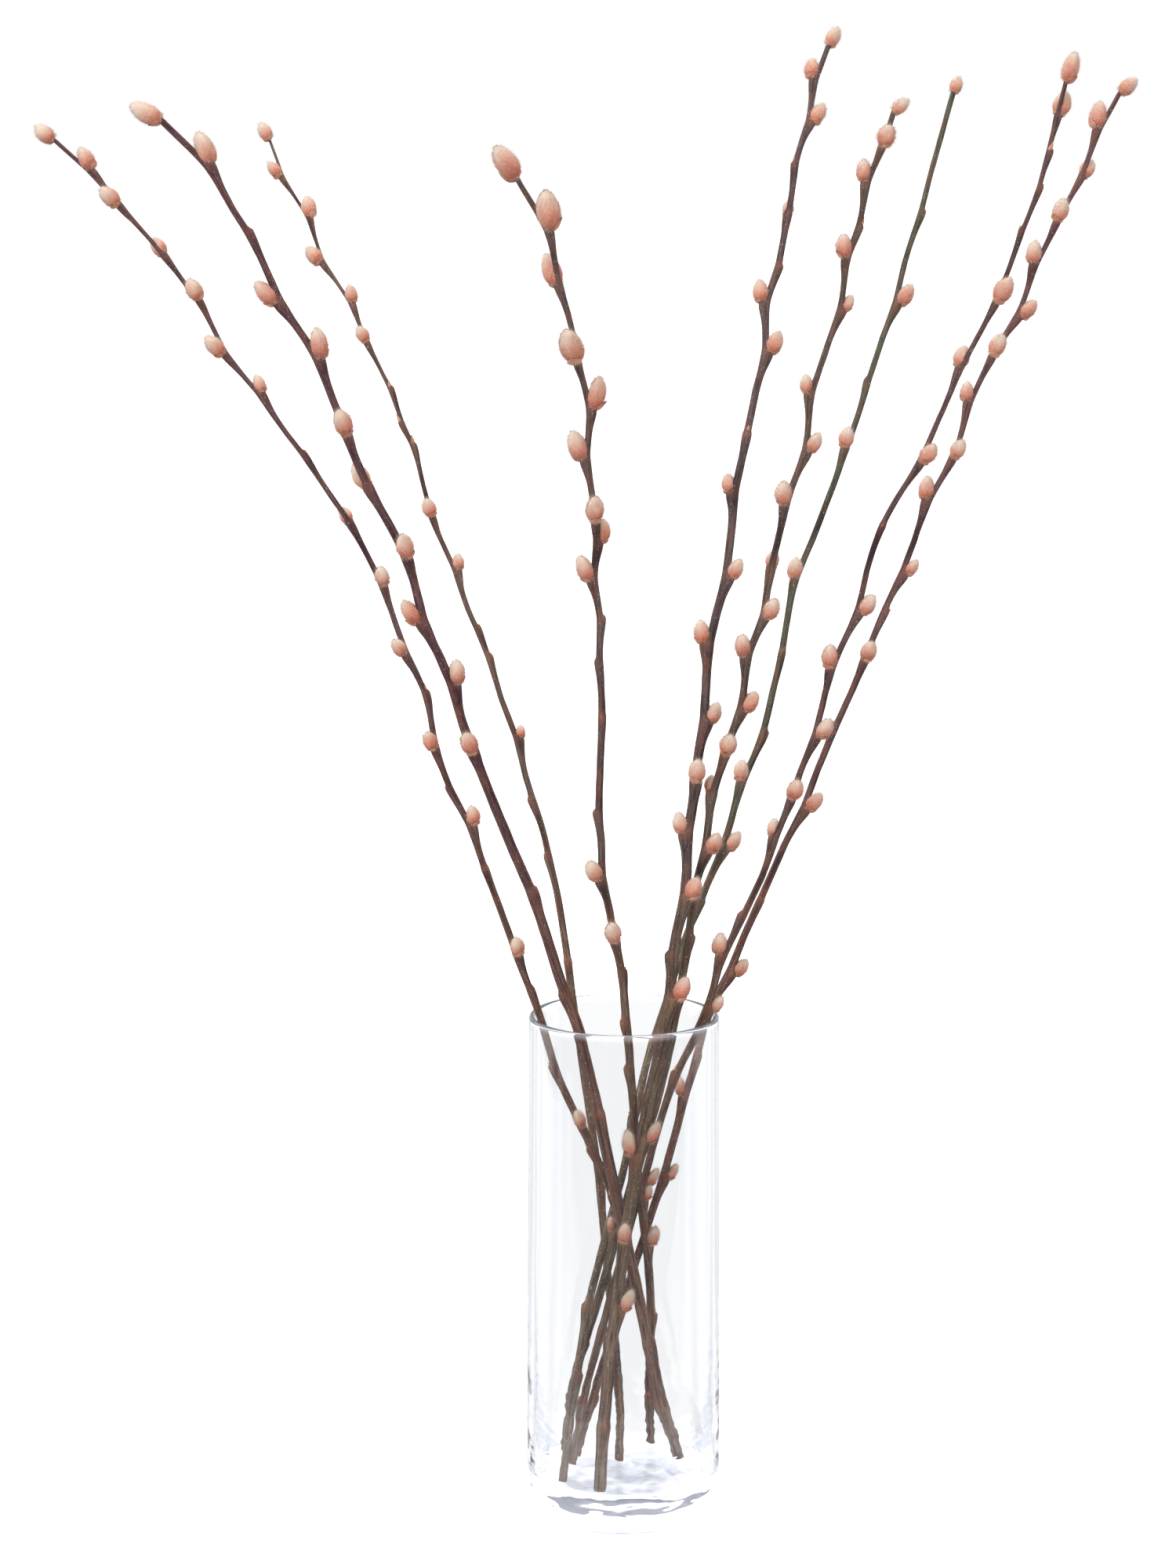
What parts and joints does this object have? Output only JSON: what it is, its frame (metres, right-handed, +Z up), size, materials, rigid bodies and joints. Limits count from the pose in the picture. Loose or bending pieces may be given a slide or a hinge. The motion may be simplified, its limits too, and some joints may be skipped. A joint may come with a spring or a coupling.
{
  "type": "willow stems in a glass vase",
  "caption": "Cut willow stems with furry catkins, fanned out and standing loose in a tall clear glass cylinder vase with a thick bottom.",
  "frame": {"origin": "middle of the vase's flat underside, on the surface it stands on", "axes": "+Z up along the vase, +X to the viewer's right in the front view, +Y away from the viewer"},
  "size_m": [0.5394, 0.2937, 0.7717],
  "materials": {
    "glass": "clear",
    "stem_1_bark": "satin",
    "stem_2_bark": "satin",
    "stem_3_bark": "satin",
    "stem_4_bark": "satin",
    "stem_5_bark": "satin",
    "stem_6_bark": "satin",
    "stem_7_bark": "satin",
    "stem_8_bark": "satin",
    "stem_9_bark": "satin",
    "catkin_fur": "soft"
  },
  "bodies": {
    "root": {"vase": "glass", "stem_1": "stem_1_bark", "stem_2": "stem_2_bark", "stem_3": "stem_3_bark", "stem_4": "stem_4_bark", "stem_5": "stem_5_bark", "stem_6": "stem_6_bark", "stem_7": "stem_7_bark", "stem_8": "stem_8_bark", "stem_9": "stem_9_bark"}
  },
  "joints": []
}
